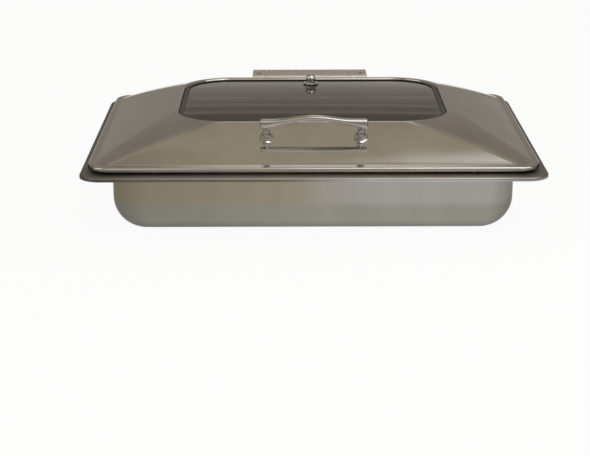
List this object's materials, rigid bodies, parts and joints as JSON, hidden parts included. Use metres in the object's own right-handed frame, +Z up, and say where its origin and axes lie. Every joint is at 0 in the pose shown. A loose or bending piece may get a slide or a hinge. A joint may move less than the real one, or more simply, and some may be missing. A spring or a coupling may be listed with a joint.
{
  "type": "drop-in chafing dish",
  "caption": "Drop-in chafing dish: rectangular water pan with a wide rim, lift-out food pan and a domed steel lid with a glass window, bowed handle and damped rear hinge.",
  "frame": {"origin": "middle of the water pan's flat underside", "axes": "+X to the right along the long side, +Y to the back where the hinge is, +Z up"},
  "size_m": [0.59, 0.4767, 0.1624],
  "materials": {
    "pan_steel": "polished stainless sheet",
    "food_pan_steel": "satin stainless sheet",
    "lid_steel": "mirror-polished stainless sheet",
    "silicone": "matt black silicone",
    "window_glass": "clear toughened glass",
    "handle_chrome": "polished",
    "bright_steel": "turned and polished",
    "fastener_steel": "plain stainless",
    "hinge_steel": "satin stainless sheet",
    "bush_bronze": "sintered bronze",
    "spring_steel": "oiled spring wire",
    "damper_plastic": "moulded black plastic"
  },
  "bodies": {
    "base": {"water_pan": "pan_steel", "hinge_bracket": "hinge_steel", "bracket_bolts": "fastener_steel", "bracket_nuts": "fastener_steel", "cheek_bushes": "bush_bronze", "spring_left": "spring_steel", "spring_right": "spring_steel", "damper_body": "damper_plastic", "damper_screws": "fastener_steel", "end_housing_left": "hinge_steel", "end_housing_right": "hinge_steel", "housing_screws": "fastener_steel"},
    "food": {"food_pan": "food_pan_steel"},
    "lid": {"lid_shell": "lid_steel", "lid_bumpers": "silicone", "window_gasket": "silicone", "window_glass": "window_glass", "vent_knob": "bright_steel", "vent_seals": "silicone", "vent_nut": "fastener_steel", "handle_bar": "handle_chrome", "handle_post_left": "handle_chrome", "handle_post_right": "handle_chrome", "handle_rosette_left": "handle_chrome", "handle_rosette_right": "handle_chrome", "handle_washers": "fastener_steel", "handle_screws": "fastener_steel", "hinge_pin": "bright_steel", "pin_ring": "spring_steel", "lid_arm": "hinge_steel", "arm_dowels": "fastener_steel", "arm_bolts": "fastener_steel", "arm_backing_plate": "hinge_steel", "arm_nuts": "fastener_steel", "knuckle_cover": "hinge_steel", "knuckle_cover_screws": "fastener_steel", "damper_rotor": "damper_plastic"}
  },
  "joints": [
    {"name": "lid_hinge", "type": "hinge", "parent": "base", "child": "lid", "pos_m": [0, 0.2415, 0.114], "axis": [-1, 0, 0], "range_deg": [0, 90]},
    {"name": "food_pan_lift", "type": "slide", "parent": "base", "child": "food", "axis": [0, 0, 1], "range_m": [0, 0.008]}
  ]
}
